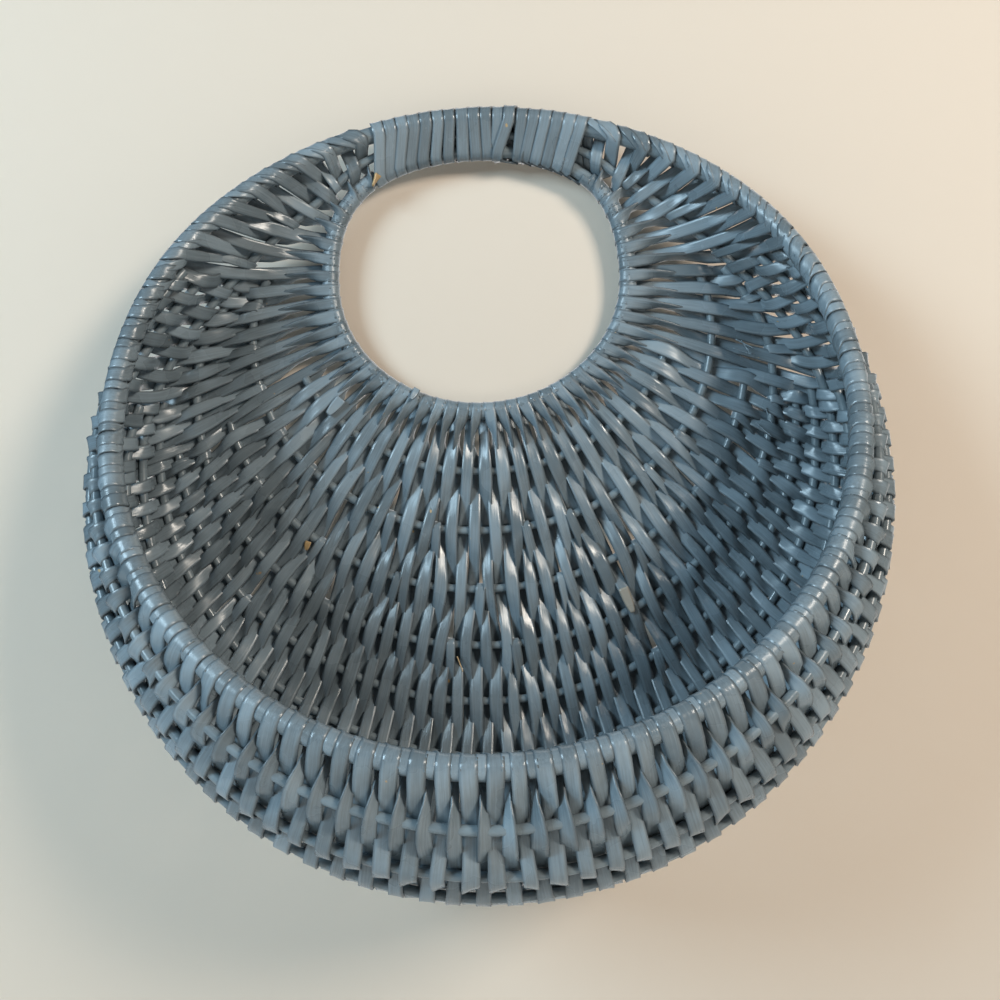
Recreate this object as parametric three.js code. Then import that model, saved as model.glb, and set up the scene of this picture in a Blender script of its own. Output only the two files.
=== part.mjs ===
// Wall pocket basket: two hoops bound together at the handle, ribs hung between them in a fan, and
// flat splints woven over and under the ribs. Millimetres, +Z up, front towards -Y.
// The origin is the underside of the handle, where the basket hangs.
import * as THREE from 'three';

// Hoops, all along the centrelines of their rods
const rimWidth = 314;
const rimHeight = 310;
const rimTilt = 24.6;
const rimRod = 8;
const holeWidth = 147;
const holeHeight = 128;
const holeRod = 6.5;
const rimRise = 13.7;
const rimForward = 6.3;
const holeLean = 1.9;

// Back and belly, as the low point of the ribs runs from the hole hoop to the rim
const backDrop = 152.3;
const backLean = 2.7;
const bellyBackDrop = 82;
const bellyFrontDrop = 82;
const bellyFrontSwell = 18;
const backHalfWidth = 165;
const frontHalfWidth = 197;
const swellStart = 25;
const swellEnd = 85;
const rimShoulder = 0.026;
const holeShoulder = 0.26;

// Ribs
const ribCount = 13;
const ribRod = 4.2;
const ribSpread = 0.3;
const ribTail = 2;
const ribRoom = 1.7;
const earlyRibs = [3, 5, 1];

// Splints
const splintWidth = 6;
const splintThickness = 1;
const splintGap = 1.5;
const clearance = 0.3;
const weaverCount = 12;
const holeCrowding = 0.8;
const shortRowRibs = [5, 7];

// Handle
const handleLength = 106;
const handleBlend = 1.5;
const bindingLoops = 18;
const bindingGap = 1.1;
const bindingMargin = 3;

// The flat that the back rests on the wall with
const restRib = 5;
const restLength = 3;
const restSpread = 12;

// Fineness of the round rods and of the turns of the splints
const hoopSides = 8;
const rimSteps = 64;
const holeSteps = 48;
const ribSides = 6;
const ribSteps = 28;
const turnSteps = 4;
const bindingArcSteps = 4;
const standOffPasses = 12;
const handlePasses = 30;
const gapProbes = 4;
const tangentStep = 0.01;
const angleTolerance = 1e-9;

const degree = Math.PI / 180;
const groupsPerWeaver = 2;
const rowsPerGroup = 4;
const groupRows = Array.from({ length: rowsPerGroup }, (_, row) => row);
const groupCount = weaverCount * groupsPerWeaver;
const fullRows = groupCount * 2;
const allRows = groupCount * rowsPerGroup;
const turnFactor = 1 / Math.cos(Math.PI / turnSteps / 2);
const rimIndex = ribCount + 1;
const middleRib = Math.round((ribCount + 1) / 2);
const leastRibPitch = ribRoom * (ribRod + splintThickness + clearance);

const vector = (x, y, z) => new THREE.Vector3(x, y, z);
const mix = THREE.MathUtils.lerp;
const ease = THREE.MathUtils.smoothstep;
const bezier = (a, b, c, d, t) =>
  a * (1 - t) ** 3 + 3 * b * t * (1 - t) ** 2 + 3 * c * t * t * (1 - t) + d * t ** 3;

// How far the middle of the binding's splint stands off the centre of a hoop.
const bindingOff = (rod) =>
  (rod / 2 + 2 * clearance + splintThickness / 2) / Math.cos(Math.PI / bindingArcSteps / 2);

// The four corners of the side outline. The hole hoop's top lies above the origin by the binding
// round it, in the direction of the rim.
const holeTop = vector(0, -rimForward, rimRise).setLength(bindingOff(holeRod) + splintThickness / 2);
const rimTop = vector(0, holeTop.y - rimForward, holeTop.z + rimRise);
const holeLow = vector(0, holeTop.y + holeLean, holeTop.z - Math.sqrt(holeHeight ** 2 - holeLean ** 2));
const rimLow = vector(
  0,
  rimTop.y - rimHeight * Math.sin(rimTilt * degree),
  rimTop.z - rimHeight * Math.cos(rimTilt * degree),
);
const backLow = vector(0, holeLow.y + backLean, holeLow.z - backDrop);

// Low point of a rib: straight down the back, then one curve under the belly and up to the rim.
const lowCurve = new THREE.CurvePath();
lowCurve.add(new THREE.LineCurve3(holeLow, backLow));
lowCurve.add(new THREE.CubicBezierCurve3(
  backLow,
  vector(0, backLow.y, backLow.z - bellyBackDrop),
  vector(0, rimLow.y - bellyFrontSwell, rimLow.z - bellyFrontDrop),
  rimLow,
));

// Half the width of the basket at a depth: straight from hoop to hoop near the handle, and swelling
// into the belly further round. The hoops aren't quite oval: their shoulders on both sides of the
// handle are fuller than an ellipse.
function wallHalfWidth(depth, angle) {
  const flat = mix(holeWidth / 2, rimWidth / 2, depth);
  const full = bezier(holeWidth / 2, backHalfWidth, frontHalfWidth, rimWidth / 2, depth);
  const fromHandle = Math.min(angle, 2 * Math.PI - angle);
  const swollen = mix(flat, full, ease(fromHandle, swellStart * degree, swellEnd * degree));
  if (fromHandle > Math.PI / 2) {
    return swollen;
  }
  const atRim = rimShoulder * Math.sin(2 * fromHandle) ** 2;
  const atHole = holeShoulder * Math.cos(fromHandle) ** 2;
  return swollen * (1 + mix(atHole, atRim, depth));
}

// A point of the basket's wall. Depth runs from 0 at the hole hoop to 1 at the rim. The angle runs
// round from 0 at the handle, over the right side and the low point, back to the handle.
function wallPoint(depth, angle) {
  const top = rimTop.clone().sub(holeTop).multiplyScalar(depth).add(holeTop);
  const low = lowCurve.getPointAt(THREE.MathUtils.clamp(depth, 0, 1));
  const middle = top.clone().add(low).multiplyScalar(0.5);
  const halfHeight = top.clone().sub(low).multiplyScalar(0.5);
  const across = vector(wallHalfWidth(depth, angle) * Math.sin(angle), 0, 0);
  return middle.addScaledVector(halfHeight, Math.cos(angle)).add(across);
}

// Angle at which the handle's binding ends.
function handleEnd(depth) {
  let end = 0;
  for (let pass = 0; pass < handlePasses; pass += 1) {
    end = Math.asin(handleLength / 2 / wallHalfWidth(depth, end));
  }
  return end;
}
const holeEnd = handleEnd(0);
const rimEnd = handleEnd(1);

// Rows of splints run in a fan from one handle end to the other. The share is 0 at the right end of
// the handle and 1 at the left end.
function fanAngle(firstAngle, share, crowding) {
  const fromHandle = 1 - Math.abs(2 * share - 1);
  const half = firstAngle + (Math.PI - firstAngle) * fromHandle ** crowding;
  return share < 0.5 ? half : 2 * Math.PI - half;
}

// Four rows make a group: a full row, two short rows that turn back at a rib, and a full row. The
// full rows are even at the hole hoop, and all rows are even at the rim.
const isFullRow = (row) => row === 0 || row === rowsPerGroup - 1;
function holeAngle(group, row) {
  return fanAngle(holeEnd, (2 * group + 0.5 + row / (rowsPerGroup - 1)) / fullRows, holeCrowding);
}
function rimAngle(group, row) {
  return fanAngle(rimEnd, (rowsPerGroup * group + 0.5 + row) / allRows, 1);
}

// Ribs stand closer to each other towards the rim.
const ribGaps = Array.from({ length: ribCount + 1 }, (_, gap) => 1 + ribSpread * (0.5 - gap / ribCount));
const gapTotal = ribGaps.reduce((sum, gap) => sum + gap, 0);
const rodDepth = [0];
for (const gap of ribGaps) {
  rodDepth.push(rodDepth.at(-1) + gap / gapTotal);
}
rodDepth[rimIndex] = 1;

// Centre of a rod. The middle rib runs through the handle, halfway between the two hoops.
function rodCentre(rod, angle) {
  const depth = rodDepth[rod];
  const point = wallPoint(depth, angle);
  if (rod !== middleRib) {
    return point;
  }
  const end = handleEnd(depth);
  const turned = angle > Math.PI ? angle - 2 * Math.PI : angle;
  const share = turned / end;
  const inHandle = wallPoint(0, share * holeEnd).add(wallPoint(1, share * rimEnd)).multiplyScalar(0.5);
  return point.lerp(inHandle, 1 - ease(Math.abs(share), 1, handleBlend));
}

// Angle at which a row crosses a rod. Seen from the front, a row is straight from hoop to rim.
const knownAngles = new Map();
function rowAngle(rod, group, row) {
  if (rod === 0) {
    return holeAngle(group, row);
  }
  if (rod === rimIndex) {
    return rimAngle(group, row);
  }
  const key = `${rod} ${group} ${row}`;
  if (!knownAngles.has(key)) {
    knownAngles.set(key, findRowAngle(rod, group, row));
  }
  return knownAngles.get(key);
}
function findRowAngle(rod, group, row) {
  const isRight = holeAngle(group, row) < Math.PI;
  const mirrored = (angle) => (isRight ? angle : 2 * Math.PI - angle);
  const start = wallPoint(0, holeAngle(group, row));
  const bearing = (point) => {
    const sideways = (point.x - start.x) * (isRight ? 1 : -1);
    const turn = Math.atan2(sideways, point.z - start.z) + Math.PI / 2;
    return turn < 0 ? turn + 2 * Math.PI : turn;
  };
  const wanted = bearing(wallPoint(1, rimAngle(group, row)));
  let low = 0;
  let high = Math.PI;
  while (high - low > angleTolerance) {
    const middle = (low + high) / 2;
    if (bearing(rodCentre(rod, mirrored(middle))) < wanted) {
      low = middle;
    } else {
      high = middle;
    }
  }
  return mirrored(low);
}

// Clear way from one rod to the next along a row, square to the next rod.
function rodSpacing(before, rod, group, row) {
  const angle = rowAngle(rod, group, row);
  const way = rodCentre(rod, angle).sub(rodCentre(before, rowAngle(before, group, row)));
  const along = rodCentre(rod, angle + tangentStep).sub(rodCentre(rod, angle - tangentStep)).normalize();
  return way.addScaledVector(along, -way.dot(along)).length();
}

// A group weaves over every rib that has room where the group lies. Near the handle only the middle
// rib is there, then the early ribs come in on both sides of it, and then the rest.
function groupRods(group) {
  const roomFor = (path) => groupRows.every((row) => path.slice(1).every((rod, place) => {
    const before = path[place];
    const atHoop = before === 0 || rod === rimIndex;
    return rodSpacing(before, rod, group, row) >= leastRibPitch + (atHoop ? (rimRod - ribRod) / 2 : 0);
  }));
  const every = Array.from({ length: ribCount + 2 }, (_, rod) => rod);
  if (roomFor(every)) {
    return every;
  }
  for (let early = earlyRibs.length; early > 0; early -= 1) {
    const present = [0, ...earlyRibs.slice(0, early)];
    const path = every.filter((rod) =>
      rod === 0 || rod === rimIndex || present.includes(Math.abs(rod - middleRib)));
    if (roomFor(path)) {
      return path;
    }
  }
  return [0, middleRib, rimIndex];
}
const rodsOfGroup = Array.from({ length: groupCount }, (_, group) => groupRods(group));

// Rods: the two hoops and the middle rib are closed rings, the other ribs end under the first splint
// that holds them.
function makeRod(rod) {
  const isHoop = rod === 0 || rod === rimIndex;
  const ring = isHoop || rod === middleRib;
  const diameter = rod === 0 ? holeRod : rod === rimIndex ? rimRod : ribRod;
  const steps = rod === 0 ? holeSteps : rod === rimIndex ? rimSteps : ring ? rimSteps : ribSteps;
  let start = 0;
  if (!ring) {
    const group = rodsOfGroup.findIndex((rods) => rods.includes(rod));
    const first = rowAngle(rod, group, 0);
    start = first - ribTail / wallHalfWidth(rodDepth[rod], first);
  }
  const end = 2 * Math.PI - start;
  const centres = Array.from({ length: steps + 1 }, (_, step) =>
    rodCentre(rod, mix(start, end, step / steps)));
  return { radius: diameter / 2, sides: isHoop ? hoopSides : ribSides, ring, steps, start, end, centres };
}
const rods = Array.from({ length: ribCount + 2 }, (_, rod) => makeRod(rod));

// Point on a rod as it is built, between two of its steps.
function rodPoint(rod, angle) {
  const { start, end, steps, centres } = rods[rod];
  const place = THREE.MathUtils.clamp((angle - start) / (end - start), 0, 1) * steps;
  const step = Math.min(Math.floor(place), steps - 1);
  return centres[step].clone().lerp(centres[step + 1], place - step);
}

// One closed body from a row of rings, each with the same number of corners. The faces on its two
// sides are split along matching diagonals, so that a twisted strip keeps its thickness.
function bodyFromRings(rings, closed) {
  const corners = rings[0].length;
  const positions = rings.flat().flatMap((corner) => corner.toArray());
  const triangles = [];
  const spans = closed ? rings.length : rings.length - 1;
  for (let span = 0; span < spans; span += 1) {
    const here = span * corners;
    const next = ((span + 1) % rings.length) * corners;
    for (let corner = 0; corner < corners; corner += 1) {
      const after = (corner + 1) % corners;
      if (corner < corners / 2) {
        triangles.push(here + corner, here + after, next + after);
        triangles.push(here + corner, next + after, next + corner);
      } else {
        triangles.push(here + corner, here + after, next + corner);
        triangles.push(here + after, next + after, next + corner);
      }
    }
  }
  if (!closed) {
    const last = (rings.length - 1) * corners;
    for (let corner = 1; corner < corners - 1; corner += 1) {
      triangles.push(0, corner + 1, corner);
      triangles.push(last, last + corner, last + corner + 1);
    }
  }
  const at = (index) => vector().fromArray(positions, index * 3);
  let volume = 0;
  for (let index = 0; index < triangles.length; index += 3) {
    const [a, b, c] = [at(triangles[index]), at(triangles[index + 1]), at(triangles[index + 2])];
    volume += a.dot(b.cross(c));
  }
  if (volume < 0) {
    triangles.reverse();
  }
  const geometry = new THREE.BufferGeometry();
  geometry.setAttribute('position', new THREE.Float32BufferAttribute(positions, 3));
  geometry.setIndex(triangles);
  geometry.computeVertexNormals();
  return geometry;
}

function rodBody(rod) {
  const { radius, sides, ring, steps, centres } = rods[rod];
  const count = ring ? steps : steps + 1;
  const upright = centres[0].clone().sub(centres[Math.round(steps / 2)]).normalize();
  const flat = vector(1, 0, 0).cross(upright).normalize();
  const rings = [];
  for (let step = 0; step < count; step += 1) {
    const before = ring ? centres[(step - 1 + steps) % steps] : centres[Math.max(step - 1, 0)];
    const after = ring ? centres[(step + 1) % steps] : centres[Math.min(step + 1, steps)];
    const along = after.clone().sub(before).normalize();
    const out = along.clone().cross(flat).normalize();
    const side = out.clone().cross(along);
    rings.push(Array.from({ length: sides }, (_, corner) => {
      const turn = 2 * Math.PI * (corner + 0.5) / sides;
      return centres[step].clone()
        .addScaledVector(out, radius * Math.cos(turn))
        .addScaledVector(side, radius * Math.sin(turn));
    }));
  }
  return bodyFromRings(rings, ring);
}

// One ring of a flat splint.
function splintRing({ centre, across, through, width }) {
  const corner = (a, b) => centre.clone()
    .addScaledVector(across, a * width / 2)
    .addScaledVector(through, b * splintThickness / 2);
  return [corner(1, 1), corner(-1, 1), corner(-1, -1), corner(1, -1)];
}

// Rib that the short rows of a group turn back at, or the next one that the group weaves over.
function turnRod(group) {
  const wanted = shortRowRibs[group % shortRowRibs.length];
  return rodsOfGroup[group].find((rod) => rod >= wanted);
}

// Room for each row where it crosses a rod, up to the middle of the nearest neighbouring row.
function roomOnRod(rod) {
  const rows = [];
  for (let group = 0; group < groupCount; group += 1) {
    const present = groupRows.filter((row) => isFullRow(row) || rod >= turnRod(group));
    for (const row of present) {
      rows.push({ key: rowsPerGroup * group + row, point: rodCentre(rod, rowAngle(rod, group, row)) });
    }
  }
  const room = new Map();
  rows.forEach(({ key, point }, place) => {
    const neighbours = [rows[place - 1], rows[place + 1]].filter(Boolean);
    room.set(key, Math.min(...neighbours.map((other) => other.point.distanceTo(point))));
  });
  return room;
}
const rowRoom = rods.map((_, rod) => roomOnRod(rod));

// A row's crossings with its rods. At each of them the row lies along its neighbours on both sides,
// and is as wide as its splint, or as the rows beside it allow.
function rowCrossings(path, group, row) {
  const crossings = path.map((rod) => {
    const angle = rowAngle(rod, group, row);
    const across = rodPoint(rod, angle + tangentStep).sub(rodPoint(rod, angle - tangentStep)).normalize();
    return { rod, angle, point: rodPoint(rod, angle), across };
  });
  crossings.forEach((cross, place) => {
    const before = crossings[Math.max(place - 1, 0)].point;
    const after = crossings[Math.min(place + 1, crossings.length - 1)].point;
    const way = after.clone().sub(before);
    cross.normal = way.clone().cross(cross.across).normalize();
    cross.lean = way.dot(cross.across) / way.dot(cross.across.clone().cross(cross.normal));
    const room = rowRoom[cross.rod].get(rowsPerGroup * group + row) / Math.hypot(1, cross.lean);
    cross.width = Math.min(splintWidth, room - splintGap);
  });
  return crossings;
}

// How far a row stands off each rod, so that its straight stretches clear the rods they leave.
function standOff(crossings, sides, turnsAt) {
  const least = crossings.map(({ rod }) => rods[rod].radius + splintThickness / 2 + clearance);
  const off = least.map((value, place) =>
    turnsAt.includes(crossings[place].rod) ? value * turnFactor : value);
  const centre = (place) => crossings[place].point.clone()
    .addScaledVector(crossings[place].normal, sides[place] * off[place]);
  for (let pass = 0; pass < standOffPasses; pass += 1) {
    for (let place = 0; place + 1 < crossings.length; place += 1) {
      const run = centre(place + 1).sub(centre(place));
      for (const end of [place, place + 1]) {
        const { point, across } = crossings[end];
        const flatRun = run.clone().addScaledVector(across, -run.dot(across)).normalize();
        const offset = centre(end).sub(point);
        const leaves = offset.dot(flatRun) * (end === place ? 1 : -1) > 0;
        const clear = leaves ? offset.length() : offset.cross(flatRun).length();
        off[end] *= Math.max(1, least[end] / clear);
      }
    }
  }
  return off;
}

// Plane of the wall: the rest rib's outer crossings lie flat in it, behind every other crossing.
const restPlane = backLow.y + ribRod / 2 + splintThickness + 3 * clearance;
function isRest(rod, side, normal) {
  return rod === restRib && side > 0 && normal.y > Math.cos(restSpread * degree);
}

function crossingRings(cross, side, off, direction) {
  const { point, normal, across, width } = cross;
  if (!isRest(cross.rod, side, normal)) {
    const centre = point.clone().addScaledVector(normal, side * off);
    return [{ centre, across, through: normal.clone().multiplyScalar(direction), width }];
  }
  const wallward = vector(0, 1, 0);
  const level = across.clone().setY(0).normalize();
  const upDepth = level.clone().cross(wallward);
  const middle = point.clone().setY(restPlane - splintThickness / 2);
  return [-1, 1].map((end) => ({
    centre: middle.clone().addScaledVector(upDepth, direction * end * restLength / 2),
    across: level,
    through: wallward.clone().multiplyScalar(direction),
    width,
  }));
}

// Turn round a rod from one row into the next, leaning as the rows do.
function turnRings(from, to, side, off, direction) {
  const rings = [];
  for (let step = 1; step < turnSteps; step += 1) {
    const share = step / turnSteps;
    const angle = mix(from.angle, to.angle, share);
    const normal = from.normal.clone().lerp(to.normal, share).normalize();
    const along = from.across.clone().lerp(to.across, share);
    const across = along.addScaledVector(normal, -along.dot(normal)).normalize();
    const outward = across.clone().cross(normal).multiplyScalar(direction);
    const radial = normal.clone().multiplyScalar(side * Math.cos(Math.PI * share))
      .addScaledVector(outward, Math.sin(Math.PI * share));
    const lean = direction * mix(from.lean, to.lean, share) * Math.sin(Math.PI * share);
    rings.push({
      centre: rodPoint(from.rod, angle).addScaledVector(radial, off).addScaledVector(across, off * lean),
      across,
      through: radial.clone().multiplyScalar(direction * side),
      width: mix(from.width, to.width, share),
    });
  }
  return rings;
}

// One unbroken splint through its groups of rows.
function weaverBody(weaver) {
  const rows = [];
  for (let part = 0; part < groupsPerWeaver; part += 1) {
    const group = weaver * groupsPerWeaver + part;
    for (const row of groupRows) {
      const first = isFullRow(row) ? 0 : turnRod(group);
      const path = rodsOfGroup[group].filter((rod) => rod >= first);
      const direction = row % 2 === 0 ? 1 : -1;
      const crossings = rowCrossings(path, group, row);
      const sides = path.map((rod) => (rodsOfGroup[group].indexOf(rod) % 2 === 0 ? 1 : -1) * direction);
      const offs = standOff(crossings, sides, [first, rimIndex]);
      const stops = crossings.map((cross, place) => ({ cross, side: sides[place], off: offs[place] }));
      rows.push({ direction, stops: direction > 0 ? stops : stops.reverse() });
    }
  }
  const rings = [];
  rows.forEach(({ direction, stops }, place) => {
    for (const { cross, side, off } of stops) {
      rings.push(...crossingRings(cross, side, off, direction));
    }
    const next = rows[place + 1];
    if (next) {
      const from = stops.at(-1);
      const to = next.stops[0];
      rings.push(...turnRings(from.cross, to.cross, from.side, Math.max(from.off, to.off), direction));
    }
  });
  return bodyFromRings(rings.map(splintRing), false);
}

// The binding winds round both hoops at once, from one handle end to the other.
function bindingRings() {
  const stops = [];
  for (const [hoop, firstTurn] of [[rimIndex, -90], [0, 90]]) {
    for (let step = 0; step <= bindingArcSteps; step += 1) {
      stops.push({ hoop, turn: (firstTurn + 180 * step / bindingArcSteps) * degree });
    }
  }
  const holeLimit = holeEnd - bindingMargin / (holeWidth / 2);
  const rimLimit = rimEnd - bindingMargin / (rimWidth / 2);
  const hoopAt = (hoop, share) => {
    const limit = hoop === 0 ? holeLimit : rimLimit;
    const angle = limit * share;
    return rodPoint(hoop, angle < 0 ? angle + 2 * Math.PI : angle);
  };
  const rings = [];
  const count = bindingLoops * stops.length;
  for (let index = 0; index <= count; index += 1) {
    const share = mix(1, -1, index / count);
    const { hoop, turn } = stops[index % stops.length];
    const rise = hoopAt(rimIndex, share).sub(hoopAt(0, share));
    const next = hoopAt(hoop, share + tangentStep);
    const across = next.sub(hoopAt(hoop, share - tangentStep)).normalize();
    rise.addScaledVector(across, -rise.dot(across)).normalize();
    const wallward = rise.clone().cross(across);
    const radial = rise.clone().multiplyScalar(Math.cos(turn)).addScaledVector(wallward, Math.sin(turn));
    const off = bindingOff(2 * rods[hoop].radius);
    rings.push({ centre: hoopAt(hoop, share).addScaledVector(radial, off), across, through: radial });
  }
  const pitches = rings.slice(stops.length)
    .map(({ centre }, index) => centre.distanceTo(rings[index].centre));
  const width = Math.min(splintWidth, Math.min(...pitches) - bindingGap);
  return { rings: rings.map((ring) => ({ ...ring, width })), stepsPerLoop: stops.length };
}

// Least gap between one loop of the binding and the next, measured between points on their edges.
function leastGap(rings, stepsPerLoop) {
  const points = [];
  for (let index = 0; index + 1 < rings.length; index += 1) {
    const here = splintRing(rings[index]);
    const next = splintRing(rings[index + 1]);
    for (let part = 0; part < gapProbes; part += 1) {
      here.forEach((corner, side) => {
        const share = part / gapProbes;
        points.push({ place: index + share, point: corner.clone().lerp(next[side], share) });
      });
    }
  }
  let least = Infinity;
  for (const first of points) {
    for (const second of points) {
      if (second.place - first.place > stepsPerLoop / 2) {
        least = Math.min(least, first.point.distanceTo(second.point));
      }
    }
  }
  return least;
}

// Painted reed: the rods are a little darker than the splints over them.
const paint = (color, roughness) => new THREE.MeshStandardMaterial({ color, roughness, metalness: 0 });
const basket = new THREE.Group();
function addPiece(name, geometry, material) {
  const piece = new THREE.Mesh(geometry, material);
  piece.name = name;
  basket.add(piece);
}
const numbered = (name, number) => `${name}_${String(number).padStart(2, '0')}`;

addPiece('rim_hoop', rodBody(rimIndex), paint(0x6f8793, 0.4));
addPiece('hole_hoop', rodBody(0), paint(0x66798a, 0.45));
for (let rib = 1; rib <= ribCount; rib += 1) {
  addPiece(numbered('rib', rib), rodBody(rib), paint(0x5f717c, 0.5));
}
for (let weaver = 0; weaver < weaverCount; weaver += 1) {
  addPiece(numbered('weaver', weaver + 1), weaverBody(weaver), paint(0x758c97, 0.45));
}
const binding = bindingRings();
addPiece('handle_binding', bodyFromRings(binding.rings.map(splintRing), false), paint(0x7a909b, 0.4));
console.log(`least gap in handle_binding: ${leastGap(binding.rings, binding.stepsPerLoop).toFixed(2)} mm`);

export default basket;
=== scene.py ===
import math
import random

import bmesh
import bpy
from mathutils import Matrix, Vector


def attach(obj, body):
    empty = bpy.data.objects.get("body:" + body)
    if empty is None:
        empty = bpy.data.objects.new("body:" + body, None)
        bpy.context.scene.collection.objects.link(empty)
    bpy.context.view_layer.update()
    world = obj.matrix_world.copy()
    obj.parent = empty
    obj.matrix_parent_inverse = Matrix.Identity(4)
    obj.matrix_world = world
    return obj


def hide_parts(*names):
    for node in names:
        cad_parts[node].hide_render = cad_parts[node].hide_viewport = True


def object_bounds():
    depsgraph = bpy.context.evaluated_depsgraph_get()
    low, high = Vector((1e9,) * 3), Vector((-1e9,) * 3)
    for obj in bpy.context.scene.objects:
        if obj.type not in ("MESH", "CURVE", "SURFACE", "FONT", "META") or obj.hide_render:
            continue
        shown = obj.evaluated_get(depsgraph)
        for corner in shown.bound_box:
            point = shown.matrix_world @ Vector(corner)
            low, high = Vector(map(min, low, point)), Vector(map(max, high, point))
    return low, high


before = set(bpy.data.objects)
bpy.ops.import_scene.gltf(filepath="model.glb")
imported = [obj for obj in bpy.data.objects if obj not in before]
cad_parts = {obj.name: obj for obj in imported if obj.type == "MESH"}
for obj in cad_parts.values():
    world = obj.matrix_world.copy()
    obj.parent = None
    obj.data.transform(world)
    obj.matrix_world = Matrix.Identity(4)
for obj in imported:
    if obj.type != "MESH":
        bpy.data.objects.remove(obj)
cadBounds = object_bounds()
print("frame loaded:", len(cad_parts), "nodes")

# All sizes below are millimetres until a mesh is finished, then metres
metre = 0.001

basketShape = {
    "rimWidth": 314.0,         # centreline of the rim rod
    "rimHeight": 310.0,
    "rimTilt": 24.6,           # degrees that the mouth leans forward
    "rimRod": 8.0,
    "rimRise": 13.7,           # rim rod over the hole rod, at the handle
    "rimForward": 6.3,
    "holeWidth": 147.0,
    "holeHeight": 128.0,
    "holeRod": 6.5,
    "holeLean": 1.9,
    "seatToHoleRod": 5.208,    # underside of the handle to the centre of the hole rod
    "backDrop": 152.3,
    "backLean": 2.7,
    "bellyBackDrop": 82.0,
    "bellyFrontDrop": 82.0,
    "bellyFrontSwell": 18.0,
    "backHalfWidth": 165.0,
    "frontHalfWidth": 197.0,
    "swellStart": 25.0,        # degrees from the handle
    "swellEnd": 85.0,
    "rimShoulder": 0.026,      # extra width of the hoops beside the handle
    "holeShoulder": 0.26,
    "ribCount": 13,
    "ribRod": 4.2,
    "ribSpread": 0.3,
    "handleLength": 106.0,
    "handleBlend": 1.5,
    "handleSteps": 30,
    "curveSteps": 1200,
}


def mix(a, b, share):
    return a + (b - a) * share


def smooth(value, low, high):
    share = min(max((value - low) / (high - low), 0.0), 1.0)
    return share * share * (3 - 2 * share)


def bezier(a, b, c, d, t):
    return a * (1 - t) ** 3 + 3 * b * t * (1 - t) ** 2 + 3 * c * t * t * (1 - t) + d * t ** 3


# Corners of the side outline: both hoops at the handle and at the low point, and the foot of the back
seatRay = Vector((0, -basketShape["rimForward"], basketShape["rimRise"]))
holeTop = seatRay.normalized() * basketShape["seatToHoleRod"]
rimTop = holeTop + seatRay
holeFall = math.sqrt(basketShape["holeHeight"] ** 2 - basketShape["holeLean"] ** 2)
holeLow = holeTop + Vector((0, basketShape["holeLean"], -holeFall))
tilt = math.radians(basketShape["rimTilt"])
rimLow = rimTop - basketShape["rimHeight"] * Vector((0, math.sin(tilt), math.cos(tilt)))
backLow = holeLow + Vector((0, basketShape["backLean"], -basketShape["backDrop"]))


def lowCurvePoints():
    # straight down the back, then one curve under the belly and up to the rim
    underBack = backLow - Vector((0, 0, basketShape["bellyBackDrop"]))
    underFront = rimLow - Vector((0, basketShape["bellyFrontSwell"], basketShape["bellyFrontDrop"]))
    steps = basketShape["curveSteps"]
    points = [holeLow.lerp(backLow, step / steps) for step in range(steps)]
    points += [bezier(backLow, underBack, underFront, rimLow, step / steps) for step in range(steps + 1)]
    lengths = [0.0]
    for here, after in zip(points, points[1:]):
        lengths.append(lengths[-1] + (after - here).length)
    evenly = []
    place = 0
    for step in range(steps + 1):
        wanted = lengths[-1] * step / steps
        while place < len(points) - 2 and lengths[place + 1] < wanted:
            place += 1
        share = (wanted - lengths[place]) / (lengths[place + 1] - lengths[place])
        evenly.append(points[place].lerp(points[place + 1], share))
    return evenly


lowPoints = lowCurvePoints()


def lowPoint(depth):
    place = min(max(depth, 0.0), 1.0) * (len(lowPoints) - 1)
    step = min(int(place), len(lowPoints) - 2)
    return lowPoints[step].lerp(lowPoints[step + 1], place - step)


def fromHandle(angle):
    turned = angle % (2 * math.pi)
    return min(turned, 2 * math.pi - turned)


def wallHalfWidth(depth, angle):
    hole = basketShape["holeWidth"] / 2
    rim = basketShape["rimWidth"] / 2
    full = bezier(hole, basketShape["backHalfWidth"], basketShape["frontHalfWidth"], rim, depth)
    start = math.radians(basketShape["swellStart"])
    end = math.radians(basketShape["swellEnd"])
    turned = fromHandle(angle)
    swollen = mix(mix(hole, rim, depth), full, smooth(turned, start, end))
    if turned > math.pi / 2:
        return swollen
    atRim = basketShape["rimShoulder"] * math.sin(2 * turned) ** 2
    atHole = basketShape["holeShoulder"] * math.cos(turned) ** 2
    return swollen * (1 + mix(atHole, atRim, depth))


def wallPoint(depth, angle):
    # depth 0 at the hole hoop and 1 at the rim; angle 0 at the handle, then down the right side
    top = holeTop.lerp(rimTop, depth)
    low = lowPoint(depth)
    point = (top + low) / 2 + (top - low) / 2 * math.cos(angle)
    point.x = wallHalfWidth(depth, angle) * math.sin(angle)
    return point


def handleEnd(depth):
    end = 0.0
    for step in range(basketShape["handleSteps"]):
        end = math.asin(basketShape["handleLength"] / 2 / wallHalfWidth(depth, end))
    return end


ribCount = basketShape["ribCount"]
rimIndex = ribCount + 1
middleRib = (ribCount + 1) // 2


def rodDepths():
    gaps = [1 + basketShape["ribSpread"] * (0.5 - gap / ribCount) for gap in range(ribCount + 1)]
    depths = [0.0]
    for gap in gaps:
        depths.append(depths[-1] + gap / sum(gaps))
    return depths


rodDepth = rodDepths()
holeEnd = handleEnd(0)
rimEnd = handleEnd(1)


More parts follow.
